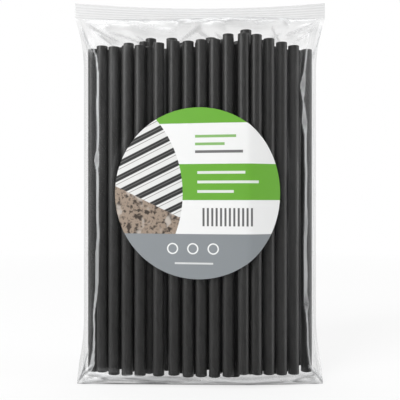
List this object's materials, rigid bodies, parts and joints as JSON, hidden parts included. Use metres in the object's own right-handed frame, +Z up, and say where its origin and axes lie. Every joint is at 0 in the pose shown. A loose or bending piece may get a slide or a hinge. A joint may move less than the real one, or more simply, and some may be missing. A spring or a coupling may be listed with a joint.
{
  "type": "pack of paper drinking straws",
  "caption": "Clear film pillow pack, crimped along the top and folded under at the foot, filled with a bundle of black paper drinking straws and carrying a round paper label on its front.",
  "frame": {"origin": "middle of the pack's outline on the surface it stands on", "axes": "+Z up along the straws, +X along the top seal to the right as seen from the front, the label faces -Y"},
  "size_m": [0.117, 0.0417, 0.1749],
  "materials": {
    "film": "clear, glossy, creased",
    "label_paper": "printed, semi-gloss",
    "black_paper": "matt, spiral wound"
  },
  "bodies": {
    "root": {"film_bag": "film", "round_label": "label_paper", "front_straw_01": "black_paper", "front_straw_02": "black_paper", "front_straw_03": "black_paper", "front_straw_04": "black_paper", "front_straw_05": "black_paper", "front_straw_06": "black_paper", "front_straw_07": "black_paper", "front_straw_08": "black_paper", "front_straw_09": "black_paper", "front_straw_10": "black_paper", "front_straw_11": "black_paper", "front_straw_12": "black_paper", "front_straw_13": "black_paper", "front_straw_14": "black_paper", "front_straw_15": "black_paper", "front_straw_16": "black_paper", "front_straw_17": "black_paper", "front_straw_18": "black_paper", "back_straw_01": "black_paper", "back_straw_02": "black_paper", "back_straw_03": "black_paper", "back_straw_04": "black_paper", "back_straw_05": "black_paper", "back_straw_06": "black_paper", "back_straw_07": "black_paper", "back_straw_08": "black_paper", "back_straw_09": "black_paper", "back_straw_10": "black_paper", "back_straw_11": "black_paper", "back_straw_12": "black_paper", "back_straw_13": "black_paper", "back_straw_14": "black_paper", "back_straw_15": "black_paper", "back_straw_16": "black_paper", "back_straw_17": "black_paper", "core_straw_row_01": "black_paper", "core_straw_row_02": "black_paper", "core_straw_row_03": "black_paper", "core_straw_row_04": "black_paper", "core_straw_row_05": "black_paper", "core_straw_row_06": "black_paper"}
  },
  "joints": []
}
